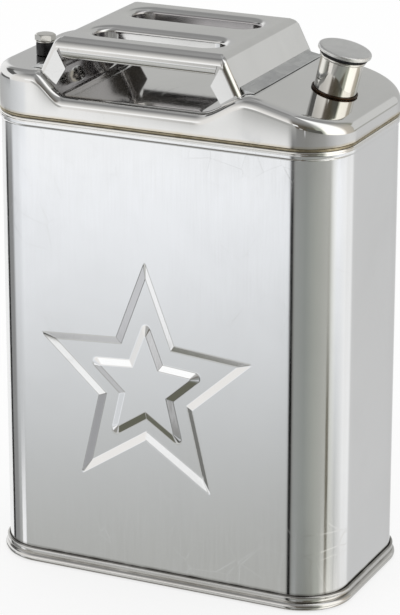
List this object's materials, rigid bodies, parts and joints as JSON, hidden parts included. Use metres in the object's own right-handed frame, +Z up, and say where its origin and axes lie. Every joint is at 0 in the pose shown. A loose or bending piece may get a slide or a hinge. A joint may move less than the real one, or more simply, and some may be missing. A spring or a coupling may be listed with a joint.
{
  "type": "stainless steel jerry can",
  "caption": "Polished stainless steel fuel can with a folded slotted carry handle, leaning screw-capped filler neck, vent screw and a pressed star on the front.",
  "frame": {"origin": "centre of the footprint on the ground, under the bottom rim", "axes": "+Z up; -Y out of the front panel with the star; +X towards the filler neck"},
  "size_m": [0.3184, 0.1744, 0.4595],
  "materials": {
    "polished_steel": "mirror-polished stainless sheet",
    "brushed_steel": "turned and satin stainless steel",
    "weld_tint": "straw-coloured weld seam",
    "dark_braze": "dark brown braze",
    "black_rubber": "black fuel-proof rubber"
  },
  "bodies": {
    "can": {"body_shell": "polished_steel", "side_weld": "weld_tint", "bottom_pan": "brushed_steel", "bottom_rim": "polished_steel", "lid_seam": "weld_tint", "top_lid": "polished_steel", "handle": "polished_steel", "foot_weld_left": "brushed_steel", "foot_weld_right": "brushed_steel", "neck_tube": "brushed_steel", "neck_ring": "dark_braze", "neck_sleeve": "brushed_steel", "vent_boss": "brushed_steel", "vent_bush": "black_rubber"},
    "cap_seal": {"cap_gasket": "black_rubber"},
    "cap": {"cap_disc": "brushed_steel", "cap_plug": "brushed_steel"},
    "vent_seal": {"vent_washer": "brushed_steel"},
    "vent": {"vent_screw": "brushed_steel"}
  },
  "joints": [
    {"name": "cap_rise", "type": "slide", "parent": "can", "child": "cap_seal", "axis": [0.2419, 0, 0.9703], "range_m": [0, 0.012]},
    {"name": "cap_turn", "type": "hinge", "parent": "cap_seal", "child": "cap", "pos_m": [0.119, 0, 0.41842], "axis": [0.2419, 0, 0.9703], "range_deg": [0, 1440]},
    {"name": "vent_rise", "type": "slide", "parent": "can", "child": "vent_seal", "axis": [0, 0, 1], "range_m": [0, 0.005]},
    {"name": "vent_turn", "type": "hinge", "parent": "vent_seal", "child": "vent", "pos_m": [-0.127, -0.027, 0.4281], "axis": [0, 0, 1], "range_deg": [0, 1440]}
  ],
  "couplings": [
    {"joint": "cap_rise", "follows": "cap_turn", "m_per_rad": 0.000477},
    {"joint": "vent_rise", "follows": "vent_turn", "m_per_rad": 0.000198}
  ]
}
